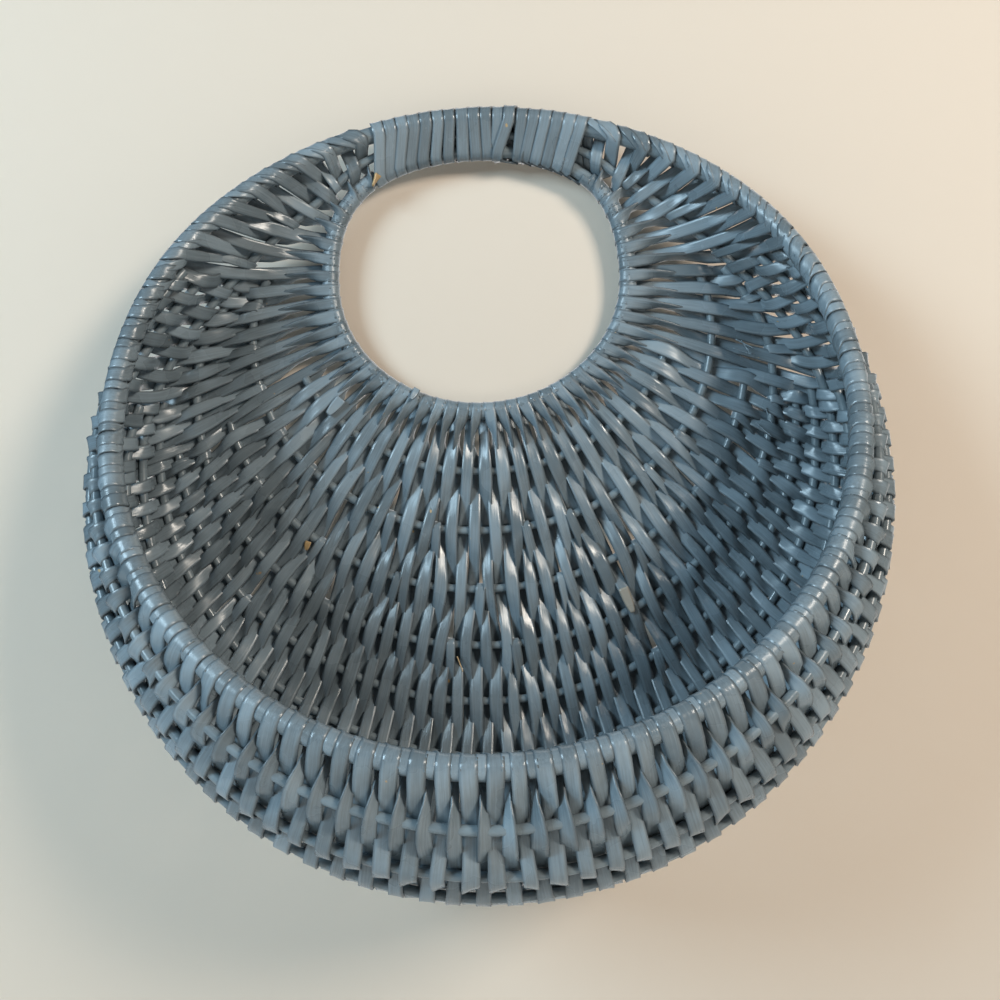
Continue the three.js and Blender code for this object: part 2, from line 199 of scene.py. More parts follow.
def rodCentre(rod, angle):
    depth = rodDepth[rod]
    point = wallPoint(depth, angle)
    if rod != middleRib:
        return point
    # the middle rib runs on through the handle, between the two hoops
    turned = angle - 2 * math.pi if angle > math.pi else angle
    share = turned / handleEnd(depth)
    inHandle = (wallPoint(0, share * holeEnd) + wallPoint(1, share * rimEnd)) / 2
    return point.lerp(inHandle, 1 - smooth(abs(share), 1, basketShape["handleBlend"]))


def rodTangent(rod, angle):
    step = 0.01
    return (rodCentre(rod, angle + step) - rodCentre(rod, angle - step)).normalized()


def rodRadius(rod):
    if rod == 0:
        return basketShape["holeRod"] / 2
    return (basketShape["rimRod"] if rod == rimIndex else basketShape["ribRod"]) / 2


def newPiece(name, bm, slot, nodes, modifiers=()):
    # finishes a mesh in millimetres as a piece of the basket
    bmesh.ops.scale(bm, vec=(metre, metre, metre), verts=bm.verts)
    mesh = bpy.data.meshes.new(name)
    for face in bm.faces:
        face.smooth = True
    bm.to_mesh(mesh)
    bm.free()
    piece = bpy.data.objects.new(name, mesh)
    bpy.context.scene.collection.objects.link(piece)
    mesh.materials.append(paints[slot])
    for make in modifiers:
        make(piece)
    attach(piece, "root")
    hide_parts(*nodes)


# Paint

paintLook = {
    "dark": (0.112, 0.140, 0.158),
    "light": (0.200, 0.250, 0.285),
    "rod": (0.165, 0.205, 0.228),
    # colour of the painted shade in the seams between strips
    "seamShade": (0.045, 0.055, 0.062),
    "bare": (0.40, 0.27, 0.13),
    "grainAcross": 5.0,        # streaks per half width
    "grainAlong": 0.055,       # per millimetre
    "grainOffset": 31.0,       # moves the grain on from one tone to the next
    "blotch": 45.0,            # per metre
    "specks": 210.0,
    "rodBlotch": 90.0,
    "rodLumps": 315.0,
    "noiseSpan": (0.3, 0.7),   # between these lie most values of a noise
    "blotchTone": 0.3,         # how far blotches and grain change the tone
    "grainTone": 0.28,
    "edgeSpan": (0.74, 1.0),   # share of the half width
    # painted shade: how far the strip edges are darkened towards the seam colour
    "edgeShade": 0.6,
    "wornSpan": (0.765, 0.8),
    "bareTones": (1.1, 1.7),   # a tone past 1 is reed that has lost its paint
    "roughness": (0.16, 0.40),
    "grainRelief": {"Strength": 0.35, "Distance": 0.0003},
    "lumpRelief": {"Strength": 0.3, "Distance": 0.0004},
}


def addNode(tree, kind, place, **inputs):
    node = tree.nodes.new(kind)
    node.location = place
    for name, value in inputs.items():
        node.inputs[name].default_value = value
    return node


def startPaint(name):
    paint = bpy.data.materials.new(name)
    paint.use_nodes = True
    tree = paint.node_tree
    return paint, tree, tree.nodes["Principled BSDF"]


def blendColours(tree, share, first, second, place):
    node = addNode(tree, "ShaderNodeMix", place)
    node.data_type = "RGBA"
    for socket, source in ((node.inputs[6], first), (node.inputs[7], second)):
        if isinstance(source, tuple):
            socket.default_value = (*source, 1)
        else:
            tree.links.new(source, socket)
    tree.links.new(share, node.inputs[0])
    return node.outputs[2]


def remap(tree, value, fromLow, fromHigh, toLow, toHigh, place):
    node = addNode(tree, "ShaderNodeMapRange", place)
    for index, number in enumerate((fromLow, fromHigh, toLow, toHigh), 1):
        node.inputs[index].default_value = number
    tree.links.new(value, node.inputs[0])
    return node.outputs[0]


def makeStripPaint(name):
    # brushed paint over flat reed: streaks follow the strip, tone changes from strip to strip
    look = paintLook
    paint, tree, shader = startPaint(name)
    strip = addNode(tree, "ShaderNodeAttribute", (-1400, 0))
    strip.attribute_name = "strip"
    parts = addNode(tree, "ShaderNodeSeparateXYZ", (-1200, 0))
    tree.links.new(strip.outputs["Vector"], parts.inputs[0])
    grainMap = addNode(tree, "ShaderNodeMapping", (-1200, -250))
    grainScale = (look["grainAcross"], look["grainAlong"], look["grainOffset"])
    grainMap.inputs["Scale"].default_value = grainScale
    tree.links.new(strip.outputs["Vector"], grainMap.inputs[0])
    grain = addNode(tree, "ShaderNodeTexNoise", (-1000, -250), Scale=1.0, Detail=5.0, Roughness=0.6)
    tree.links.new(grainMap.outputs[0], grain.inputs["Vector"])
    spot = addNode(tree, "ShaderNodeTexCoord", (-1400, -600))
    blotch = addNode(tree, "ShaderNodeTexNoise", (-1000, -500), Scale=look["blotch"], Detail=3.0)
    tree.links.new(spot.outputs["Object"], blotch.inputs["Vector"])
    specks = addNode(tree, "ShaderNodeTexNoise", (-1000, -750), Scale=look["specks"], Detail=2.0)
    tree.links.new(spot.outputs["Object"], specks.inputs["Vector"])
    noiseSpan = look["noiseSpan"]
    byBlotch = (-look["blotchTone"], look["blotchTone"])
    byGrain = (-look["grainTone"], look["grainTone"])
    tone = addNode(tree, "ShaderNodeMath", (-800, 0))
    tree.links.new(parts.outputs["Z"], tone.inputs[0])
    tree.links.new(remap(tree, blotch.outputs[0], *noiseSpan, *byBlotch, (-800, -400)), tone.inputs[1])
    streaked = addNode(tree, "ShaderNodeMath", (-600, 0))
    tree.links.new(tone.outputs[0], streaked.inputs[0])
    tree.links.new(remap(tree, grain.outputs[0], *noiseSpan, *byGrain, (-800, -200)), streaked.inputs[1])
    streaked.use_clamp = True
    colour = blendColours(tree, streaked.outputs[0], look["dark"], look["light"], (-400, 0))
    # painted shade: both edges of each strip are darkened towards the seam colour, so the gaps between
    # strips read as shaded
    fromMiddle = addNode(tree, "ShaderNodeMath", (-1000, 250))
    fromMiddle.operation = "ABSOLUTE"
    tree.links.new(parts.outputs["X"], fromMiddle.inputs[0])
    edges = remap(tree, fromMiddle.outputs[0], *look["edgeSpan"], 0, look["edgeShade"], (-800, 250))
    colour = blendColours(tree, edges, colour, look["seamShade"], (-300, 100))
    worn = remap(tree, specks.outputs[0], *look["wornSpan"], 0, 1, (-600, -700))
    colour = blendColours(tree, worn, colour, look["bare"], (-200, 0))
    unpainted = remap(tree, parts.outputs["Z"], *look["bareTones"], 0, 1, (-400, 250))
    colour = blendColours(tree, unpainted, colour, look["bare"], (-100, 200))
    tree.links.new(colour, shader.inputs["Base Color"])
    rough = remap(tree, blotch.outputs[0], *noiseSpan, *look["roughness"], (-400, -450))
    tree.links.new(rough, shader.inputs["Roughness"])
    relief = addNode(tree, "ShaderNodeBump", (-200, -300), **look["grainRelief"])
    tree.links.new(grain.outputs[0], relief.inputs["Height"])
    tree.links.new(relief.outputs[0], shader.inputs["Normal"])
    return paint


def makeRodPaint(name):
    # thicker paint on round rods, a little darker than the strips
    look = paintLook
    paint, tree, shader = startPaint(name)
    spot = addNode(tree, "ShaderNodeTexCoord", (-1200, 0))
    blotch = addNode(tree, "ShaderNodeTexNoise", (-1000, 0), Scale=look["rodBlotch"], Detail=4.0)
    tree.links.new(spot.outputs["Object"], blotch.inputs["Vector"])
    lumps = addNode(tree, "ShaderNodeTexNoise", (-1000, -300), Scale=look["rodLumps"], Detail=3.0)
    tree.links.new(spot.outputs["Object"], lumps.inputs["Vector"])
    share = remap(tree, blotch.outputs[0], *look["noiseSpan"], 0, 1, (-800, 0))
    colour = blendColours(tree, share, look["dark"], look["rod"], (-500, 0))
    tree.links.new(colour, shader.inputs["Base Color"])
    rough = remap(tree, blotch.outputs[0], *look["noiseSpan"], *look["roughness"], (-500, -200))
    tree.links.new(rough, shader.inputs["Roughness"])
    relief = addNode(tree, "ShaderNodeBump", (-300, -300), **look["lumpRelief"])
    tree.links.new(lumps.outputs[0], relief.inputs["Height"])
    tree.links.new(relief.outputs[0], shader.inputs["Normal"])
    return paint


paints = {
    "painted_rod": makeRodPaint("rodPaint"),
    "painted_splint": makeStripPaint("splintPaint"),
    "painted_binding": makeStripPaint("bindingPaint"),
}
print("paints mixed")


# Rows of the weave, as lanes from the hole hoop to the rim

weaveLook = {
    "groupCount": 48,          # four rows each: full, short, short, full
    "groupsPerPiece": 4,
    "openGroups": (0, 2, 4, 6, 8, 10),  # counted from the handle, these have no short rows
    "holeCrowding": 0.8,
    "rimCrowding": 0.86,
    "handleShift": 0.08,       # the bound stretch lies this share of its half length to the right
    "laneTolerance": 1e-6,     # radians
    "leastRibPitch": 6.3,      # a rib comes in where it is this far from its neighbours
    "hoopRoom": 1.5,           # and this much further from a hoop
    "earlyRibs": (3, 5, 1),    # steps from the middle rib, in the order that they come in
    "ribTail": 2.0,
    "turnPitch": (4.4, 8.2),   # short rows come in where full rows would lie this far apart
    "turnOrder": (2, 5, 0, 3, 1, 4),
    "turnInset": 0.17,         # share of a group that its full rows lie inside its edges
    "evenSteps": 25,           # rounds of moving each row to the middle of its neighbours
    "laneHold": 0.04,
    "turnRoom": 0.22,          # share of a lane that a short row takes where it turns
    "turnWidth": 0.72,         # share of its width that it keeps there
    "laneJitter": 0.15,        # share of the space between the two rows beside it
    "width": 6.3,
    "widthSpread": 0.7,
    "mostOverlap": 2.0,        # widest a strip may be, in spaces to its neighbour
    "thickness": 0.95,
    "crown": 0.1,
    "edgeCrease": 0.7,
    "smoothLevels": 1,
    "lift": 0.3,               # off a rib, before the strip is smoothed
    "hoopLift": 0.2,
    "stationsPerGap": 5,
    "turnStations": 5,
    "twistShare": 0.5,
    "twistSpread": 9.0,        # degrees
    "twistFlips": 0.07,        # share of the stretches that twist the other way
    "leastShowing": 0.3,       # share of the width that shows where two rows pass
    "leafTwist": 74.0,         # degrees, where a row comes out from under the rim
    "leafFoot": 36.0,
    "leafFade": (105.0, 138.0),  # degrees from the handle between which the leaves come in
    "leafSide": 0.45,          # share of the twist that they have before that
    "leafSideFade": (35.0, 60.0),
    "leafNarrow": 0.25,        # share of the width that a leaf loses
    "foldTwist": 78.0,         # degrees, where a row leaves the front of the hole hoop
    "foldShift": 0.36,         # share of the width that it moves aside there
    "seed": 21,
}
rowsPerGroup = 4
lastRow = rowsPerGroup - 1
groupCount = weaveLook["groupCount"]
weaveRandom = random.Random(weaveLook["seed"])


def isFullRow(row):
    return row in (0, lastRow)


def listRows():
    rows = []
    for group in range(groupCount):
        isOpen = min(group, groupCount - 1 - group) in weaveLook["openGroups"]
        rows += [(group, row) for row in range(rowsPerGroup) if isFullRow(row) or not isOpen]
    return rows


rowList = listRows()
rowPlace = {key: place for place, key in enumerate(rowList)}


def fanAngle(firstAngle, share, crowding):
    near = max(1 - abs(2 * share - 1), 0.0)
    shift = firstAngle * weaveLook["handleShift"]
    first = firstAngle + (shift if share < 0.5 else -shift)
    half = first + (math.pi - first) * near ** crowding
    return half if share < 0.5 else 2 * math.pi - half


def laneAngle(rod, holeShare, rimShare):
    # seen from the front, a lane is straight from the hole hoop to the rim
    holeAngle = fanAngle(holeEnd, holeShare, weaveLook["holeCrowding"])
    rimAngle = fanAngle(rimEnd, rimShare, weaveLook["rimCrowding"])
    if rod in (0, rimIndex):
        return rimAngle if rod else holeAngle
    onRight = holeAngle < math.pi
    start = wallPoint(0, holeAngle)

    def bearing(point):
        sideways = (point.x - start.x) * (1 if onRight else -1)
        return (math.atan2(sideways, point.z - start.z) + math.pi / 2) % (2 * math.pi)

    wanted = bearing(wallPoint(1, rimAngle))
    low, high = 0.0, math.pi
    while high - low > weaveLook["laneTolerance"]:
        angle = (low + high) / 2
        if bearing(rodCentre(rod, angle if onRight else 2 * math.pi - angle)) < wanted:
            low = angle
        else:
            high = angle
    return low if onRight else 2 * math.pi - low


def rowShares(group, row):
    # place of a row along the hole hoop and along the rim
    onHole = (2 * group + 0.5 + row / lastRow) / (2 * groupCount)
    onRim = (rowPlace[group, row] + 0.5) / len(rowList)
    return onHole, onRim


def groupRods(group):
    # a rib is there only where it has room
    every = list(range(rimIndex + 1))
    early = weaveLook["earlyRibs"]
    choices = [every]
    for count in range(len(early), -1, -1):
        steps = (0, *early[:count])
        choices.append([rod for rod in every if rod in (0, rimIndex) or abs(rod - middleRib) in steps])
    for rods in choices:
        roomy = True
        for row in (0, lastRow):
            shares = rowShares(group, row)
            points = [rodCentre(rod, laneAngle(rod, *shares)) for rod in rods]
            for place in range(1, len(rods)):
                atHoop = rods[place - 1] == 0 or rods[place] == rimIndex
                needed = weaveLook["leastRibPitch"] + (weaveLook["hoopRoom"] if atHoop else 0)
                roomy = roomy and (points[place] - points[place - 1]).length >= needed
        if roomy:
            return rods
    return choices[-1]


rodsOfGroup = [groupRods(group) for group in range(groupCount)]


def turnRod(group):
    # the rod that this group's short rows turn round
    order = weaveLook["turnOrder"]
    place = (order[group % len(order)] + weaveRandom.random()) / len(order)
    wanted = mix(*weaveLook["turnPitch"], place)
    ribs = rodsOfGroup[group][1:-1]
    firstHole, firstRim = rowShares(group, 0)
    lastHole, lastRim = rowShares(group, lastRow)
    inset = weaveLook["turnInset"]
    for rod in ribs:
        firstEnd = rodCentre(rod, laneAngle(rod, firstHole, mix(firstRim, lastRim, inset)))
        lastEnd = rodCentre(rod, laneAngle(rod, lastHole, mix(lastRim, firstRim, inset)))
        if (lastEnd - firstEnd).length > wanted:
            return rod
    return ribs[-1]


turnRodOfGroup = [turnRod(group) for group in range(groupCount)]


def layRows():
    # rows lie evenly on each rib, as near to their lanes as that allows
    angles = {}
    for rod in range(rimIndex + 1):
        keys = [(group, row) for group, row in rowList
                if rod in rodsOfGroup[group] and (isFullRow(row) or rod >= turnRodOfGroup[group])]
        lanes = [laneAngle(rod, *rowShares(*key)) for key in keys]
        shares = [weaveLook["turnRoom"] if not isFullRow(row) and rod == turnRodOfGroup[group] else 1
                  for group, row in keys]
        gaps = [before + after for before, after in zip(shares, shares[1:])]
        places = list(lanes)
        for step in range(weaveLook["evenSteps"] if 0 < rod < rimIndex else 0):
            evened = []
            for index in range(1, len(keys) - 1):
                share = gaps[index - 1] / (gaps[index - 1] + gaps[index])
                middle = mix(places[index - 1], places[index + 1], share)
                held = mix((middle + places[index]) / 2, lanes[index], weaveLook["laneHold"])
                evened.append(held)
            places = [places[0], *evened, places[-1]]
        for index, key in enumerate(keys):
            room = places[min(index + 1, len(keys) - 1)] - places[max(index - 1, 0)]
            shift = weaveRandom.uniform(-0.5, 0.5) * weaveLook["laneJitter"] * room
            angles[(rod, *key)] = places[index] + shift
    return angles


rowAngles = layRows()


def rodSpan(rod):
    # a rib ends a little past its first and last row
    if rod in (0, middleRib, rimIndex):
        return 0.0, 2 * math.pi
    angles = [angle for (onRod, group, row), angle in rowAngles.items() if onRod == rod]
    tail = weaveLook["ribTail"] / wallHalfWidth(rodDepth[rod], min(angles))
    return min(angles) - tail, max(angles) + tail


rodSpans = [rodSpan(rod) for rod in range(rimIndex + 1)]


def roomOnRods():
    # space from each row to its nearest neighbour, on every rod
    room = {}
    for rod in range(rimIndex + 1):
        rows = [key for key in rowAngles if key[0] == rod]
        points = [rodCentre(rod, rowAngles[key]) for key in rows]
        for place, key in enumerate(rows):
            beside = [points[other] for other in (place - 1, place + 1) if 0 <= other < len(points)]
            room[key] = min((point - points[place]).length for point in beside)
    return room


rowRoom = roomOnRods()
print("rows laid out")


# Round rods: the two hoops and the ribs

rodLook = {
    "sides": 12,
    "stepLength": 5.0,
    "leastSteps": 24,
    "lengthProbes": 60,        # steps in which a rod is measured
    "mergeDistance": 1e-3,
    "wobble": 0.25,            # how far a rib strays from its line
    "wobbleWaves": 9,          # waves round the whole basket
    "wobbleWay": Vector((0, 0.6, 0.8)),
    "wobblePhase": 6,          # radians, the most by which the waves of a rib are moved
    "endRound": 1.0,
    "endSegments": 3,
    "seed": 5,
}


def tubeAlong(bm, centres, radius, closed):
    sides = rodLook["sides"]
    count = len(centres)
    grid = bmesh.ops.create_grid(bm, x_segments=sides, y_segments=count if closed else count - 1, size=1)
    upright = (centres[0] - centres[count // 2]).normalized()
    flat = Vector((1, 0, 0)).cross(upright).normalized()
    for index, vert in enumerate(grid["verts"]):
        row, side = divmod(index, sides + 1)
        here = centres[row % count]
        before = centres[(row - 1) % count] if closed else centres[max(row - 1, 0)]
        after = centres[(row + 1) % count] if closed else centres[min(row + 1, count - 1)]
        along = (after - before).normalized()
        out = along.cross(flat).normalized()
        turn = 2 * math.pi * side / sides
        vert.co = here + (out * math.cos(turn) + out.cross(along) * math.sin(turn)) * radius
    bmesh.ops.remove_doubles(bm, verts=grid["verts"], dist=rodLook["mergeDistance"])
    if not closed:
        openEdges = [edge for edge in bm.edges if edge.is_boundary]
        caps = bmesh.ops.edgeloop_fill(bm, edges=openEdges)["faces"]
        rounded = list({edge for face in caps for edge in face.edges})
        bmesh.ops.bevel(bm, geom=rounded, offset=rodLook["endRound"], segments=rodLook["endSegments"],
                        profile=0.5, affect="EDGES", material=-1)
    bmesh.ops.recalc_face_normals(bm, faces=bm.faces)


def rodLine(rod, rng):
    start, end = rodSpans[rod]
    span = end - start
    count = rodLook["lengthProbes"]
    probes = [rodCentre(rod, start + span * step / count) for step in range(count + 1)]
    length = sum((after - here).length for here, after in zip(probes, probes[1:]))
    steps = max(int(length / rodLook["stepLength"]), rodLook["leastSteps"])
    closed = start == 0
    phase = rng.uniform(0, rodLook["wobblePhase"])
    stray = rodLook["wobble"] if 0 < rod < rimIndex else 0
    centres = []
    for step in range(steps if closed else steps + 1):
        angle = start + span * step / steps
        shift = stray * math.sin(angle * rodLook["wobbleWaves"] + phase)
        centres.append(rodCentre(rod, angle) + shift * rodLook["wobbleWay"])
    return centres, closed


def makeRods():
    rng = random.Random(rodLook["seed"])
    names = {0: "hole_hoop", rimIndex: "rim_hoop"}
    for rod in range(rimIndex + 1):
        node = names.get(rod, f"rib_{rod:02d}")
        centres, closed = rodLine(rod, rng)
        bm = bmesh.new()
        tubeAlong(bm, centres, rodRadius(rod), closed)
        newPiece(node + "_rod", bm, "painted_rod", [node])
    print("rods made")


makeRods()


# Flat strips, woven from the hole hoop over and under the ribs to the rim

def leafShare(angle):
    turned = math.degrees(fromHandle(angle))
    atSide = weaveLook["leafSide"] * smooth(turned, *weaveLook["leafSideFade"])
    return max(atSide, smooth(turned, *weaveLook["leafFade"]))


def rowCrossings(group, row):
    # a row is outside the basket (side 1) on one rod and inside (side -1) on the next
    rods = rodsOfGroup[group]
    direction = 1 if row % 2 == 0 else -1
    first = 0 if isFullRow(row) else turnRodOfGroup[group]
    crossings = []
    for place, rod in enumerate(rods):
        if rod >= first:
            angle = rowAngles[rod, group, row]
            side = direction if place % 2 == 0 else -direction
            crossings.append({"rod": rod, "angle": angle, "side": side, "twist": 0.0,
                              "point": rodCentre(rod, angle), "across": rodTangent(rod, angle),
                              "room": rowRoom[rod, group, row]})
    for place, cross in enumerate(crossings):
        before = crossings[max(place - 1, 0)]["point"]
        after = crossings[min(place + 1, len(crossings) - 1)]["point"]
        cross["way"] = (after - before).normalized()
        cross["normal"] = cross["way"].cross(cross["across"]).normalized()
        lift = weaveLook["hoopLift" if cross["rod"] in (0, rimIndex) else "lift"]
        cross["off"] = rodRadius(cross["rod"]) + weaveLook["thickness"] / 2 + lift
        cross["centre"] = cross["point"] + cross["normal"] * cross["side"] * cross["off"]
    if crossings[-1]["side"] < 0 and len(crossings) > 2:
        crossings[-2]["twist"] = math.radians(weaveLook["leafFoot"]) * leafShare(crossings[-1]["angle"])
    return crossings


def hermite(a, wayA, b, wayB, t):
    return (a * (2 * t ** 3 - 3 * t ** 2 + 1) + wayA * (t ** 3 - 2 * t ** 2 + t)
            + b * (3 * t ** 2 - 2 * t ** 3) + wayB * (t ** 3 - t ** 2))


def rowStations(group, row, rng):
    # stations from the hole hoop towards the rim: centre, across, width, twist, tone
    look = weaveLook
    crossings = rowCrossings(group, row)
    fullWidth = look["width"] + rng.uniform(-1, 1) * look["widthSpread"]
    sign = 1 if rowAngles[rimIndex, group, row] > math.pi else -1
    tone = rng.random()
    stations = []

    def widthAt(cross):
        return min(fullWidth, max(cross["room"] * look["mostOverlap"], fullWidth * look["turnWidth"]))

    for here, after in zip(crossings, crossings[1:]):
        gap = (after["centre"] - here["centre"]).length
        room = (here["room"] + after["room"]) / 2
        showing = min(max(room / fullWidth, look["leastShowing"]), 1)
        isLeaf = after["rod"] == rimIndex and after["side"] < 0
        leaf = leafShare(after["angle"]) if isLeaf else 0
        isFold = here["rod"] == 0 and here["side"] < 0
        aside = sign * look["foldShift"] * fullWidth if isFold else 0
        twist = mix(math.acos(showing) * look["twistShare"], math.radians(look["leafTwist"]), leaf)
        if isFold:
            twist = -math.radians(look["foldTwist"])
        elif rng.random() < look["twistFlips"] and not isLeaf:
            twist = -twist
        twist += math.radians(rng.uniform(-1, 1) * look["twistSpread"])
        for step in range(look["stationsPerGap"]):
            t = step / look["stationsPerGap"]
            centre = hermite(here["centre"], here["way"] * gap, after["centre"], after["way"] * gap, t)
            across = here["across"].lerp(after["across"], t)
            peak = math.sin(math.pi * t) ** 2
            widest = mix(widthAt(here), widthAt(after), t) * (1 - look["leafNarrow"] * leaf * peak)
            turned = mix(here["twist"], after["twist"], smooth(t, 0, 1)) * (1 - peak) + twist * peak
            stations.append((centre + across * aside * peak, across, widest, sign * turned, tone))
    last = crossings[-1]
    stations.append((last["centre"], last["across"], widthAt(last), 0.0, tone))
    return crossings, stations


def turnStations(start, end, direction, widths, tones):
    # round a rod from one row into the next
    stations = []
    count = weaveLook["turnStations"]
    off = max(start["off"], end["off"])
    # on a hoop, the step sideways is made on the side that is turned away
    hidden = {0: 1, rimIndex: -1}.get(start["rod"], 0)
    for step in range(1, count + 1):
        share = step / (count + 1)
        moved = share
        if hidden:
            moved = smooth(share, 0, 0.5) if start["side"] == hidden else smooth(share, 0.5, 1)
        angle = mix(start["angle"], end["angle"], moved)
        normal = start["normal"].lerp(end["normal"], share)
        across = start["across"].lerp(end["across"], share)
        normal = (normal - across * normal.dot(across) / across.length_squared).normalized()
        outward = across.cross(normal).normalized() * direction
        turn = math.pi * share
        radial = normal * start["side"] * math.cos(turn) + outward * math.sin(turn)
        centre = rodCentre(start["rod"], angle) + radial * off
        stations.append((centre, across, mix(*widths, share), 0.0, mix(*tones, share)))
    return stations


stripColumns = (-1, 0, 1)      # across a strip, in half widths


def layStrip(bm, stations, layer):
    # one flat strip: a narrow grid whose cross rows are set along the stations
    columns = len(stripColumns)
    grid = bmesh.ops.create_grid(bm, x_segments=columns - 1, y_segments=len(stations) - 1, size=1)
    verts = grid["verts"]
    along = 0.0
    for place, (centre, across, width, twist, tone) in enumerate(stations):
        before = stations[max(place - 1, 0)][0]
        after = stations[min(place + 1, len(stations) - 1)][0]
        way = (after - before).normalized()
        flat = (across - way * across.dot(way)).normalized()
        flat = Matrix.Rotation(twist, 3, way) @ flat
        out = way.cross(flat)
        along += (centre - before).length if place else 0
        for column, share in enumerate(stripColumns):
            vert = verts[columns * place + column]
            vert.co = centre + flat * share * width / 2 + out * weaveLook["crown"] * (1 - abs(share))
            vert[layer] = (share, along, tone)


def thicken(piece, thickness=weaveLook["thickness"]):
    wall = piece.modifiers.new("thickness", "SOLIDIFY")
    wall.thickness = thickness * metre
    wall.offset = 0
    wall.edge_crease_rim = weaveLook["edgeCrease"]
    wall.edge_crease_outer = weaveLook["edgeCrease"]
    wall.edge_crease_inner = weaveLook["edgeCrease"]


def soften(piece):
    bend = piece.modifiers.new("soften", "SUBSURF")
    bend.levels = weaveLook["smoothLevels"]
    bend.render_levels = weaveLook["smoothLevels"]


def startStrips():
    bm = bmesh.new()
    return bm, bm.verts.layers.float_vector.new("strip")


def makeWeavers():
    perPiece = weaveLook["groupsPerPiece"]
    rows = []
    for group, row in rowList:
        crossings, stations = rowStations(group, row, weaveRandom)
        direction = 1 if row % 2 == 0 else -1
        if direction < 0:
            crossings = crossings[::-1]
            stations = [(centre, across, width, -twist, tone)
                        for centre, across, width, twist, tone in stations[::-1]]
        rows.append((direction, crossings, stations))
    for piece in range(groupCount // perPiece):
        bm, layer = startStrips()
        strip = []
        for place in [place for (group, row), place in rowPlace.items() if group // perPiece == piece]:
            direction, crossings, stations = rows[place]
            strip += stations
            if place + 1 < len(rows):
                nextCrossings, nextStations = rows[place + 1][1:]
                widths = stations[-1][2], nextStations[0][2]
                tones = stations[-1][4], nextStations[0][4]
                strip += turnStations(crossings[-1], nextCrossings[0], direction, widths, tones)
        layStrip(bm, strip, layer)
        newPiece(f"weaver_{piece + 1:02d}_strips", bm, "painted_splint", [f"weaver_{piece + 1:02d}"],
                 (thicken, soften))
    print("weavers made")


makeWeavers()


# A narrow strip wound along each hoop, in the places that the weavers leave bare

windingLook = {
    "width": {"rim": 4.1, "hole": 4.7},
    "holePitch": 5.2,          # on the rim, one turn goes between two turns of the weavers
    "firstLane": {"rim": -0.25, "hole": 0.0},
    "widthSpread": 0.4,
    "lift": 0.15,
    "stationsPerTurn": 12,
    "drift": 0.22,             # half the share of a turn in which it moves along the hoop
    "seed": 8,
}


def makeWinding(hoop, rod, beside):
    # the step from one turn to the next is made on the side that is turned away
    look = windingLook
    rng = random.Random(look["seed"] + rod)
    first = rimEnd if rod else holeEnd
    off = rodRadius(rod) + weaveLook["thickness"] / 2 + look["lift"]
    length = 2 * (math.pi - first) * wallHalfWidth(rodDepth[rod], 0)
    lanes = len(rowList) // 2 if rod else int(length / look["holePitch"])
    crowding = weaveLook["rimCrowding"] if rod else 1
    steps = look["stationsPerTurn"]
    stations = []
    for step in range(lanes * steps + 1):
        if step % steps == 0:
            tone = rng.random()
            width = look["width"][hoop] + rng.uniform(-1, 1) * look["widthSpread"]
        turns = step / steps
        lane = int(turns) + smooth(turns % 1, 0.5 - look["drift"], 0.5 + look["drift"])
        angle = fanAngle(first, (lane + look["firstLane"][hoop]) / lanes, crowding)
        across = rodTangent(rod, angle)
        away = wallPoint(rodDepth[rod], angle) - wallPoint(rodDepth[beside], angle)
        away = (away - across * away.dot(across)).normalized()
        turn = 2 * math.pi * turns
        radial = away.cross(across) * math.cos(turn) + away * math.sin(turn)
        stations.append((rodCentre(rod, angle) + radial * off, across, width, 0.0, tone))
    bm, layer = startStrips()
    layStrip(bm, stations, layer)
    newPiece(hoop + "_winding", bm, "painted_splint", [hoop + "_hoop"], (thicken, soften))


makeWinding("rim", rimIndex, ribCount)
makeWinding("hole", 0, 1)
print("hoops wound")


# The handle: one strip wound round both hoops

handleLook = {
    "loops": 18,
    "length": 104.0,
    "width": 5.7,
    "widthSpread": 0.45,
    "lift": 0.5,
    "liftSpread": 0.3,
    "stray": 0.3,
    "facetStations": 2,
    "tangentStep": 0.5,
    # degrees round a hoop, and at the back the share of the way to the next loop
    "footTurns": (200, 235, 270),
    "headTurns": (-90, -60, -30, 0),
    "backHeadTurns": ((30, 1 / 6), (60, 1 / 4), (90, 1 / 3)),
    "backFootTurns": ((90, 0.6), (130, 0.8), (165, 0.975)),
    "slant": 9.0,              # how far the loops on the right lean
    "openLoop": 11,            # from the left; it leaves a gap at its foot
    "slantLoops": (-3, 2),     # loops from that one between which the lean comes in
    "openShift": 2.2,
    "openSpread": 3.0,         # how far the loops after the gap are pushed on at their feet
    "openLift": 0.6,
    "seed": 14,
}


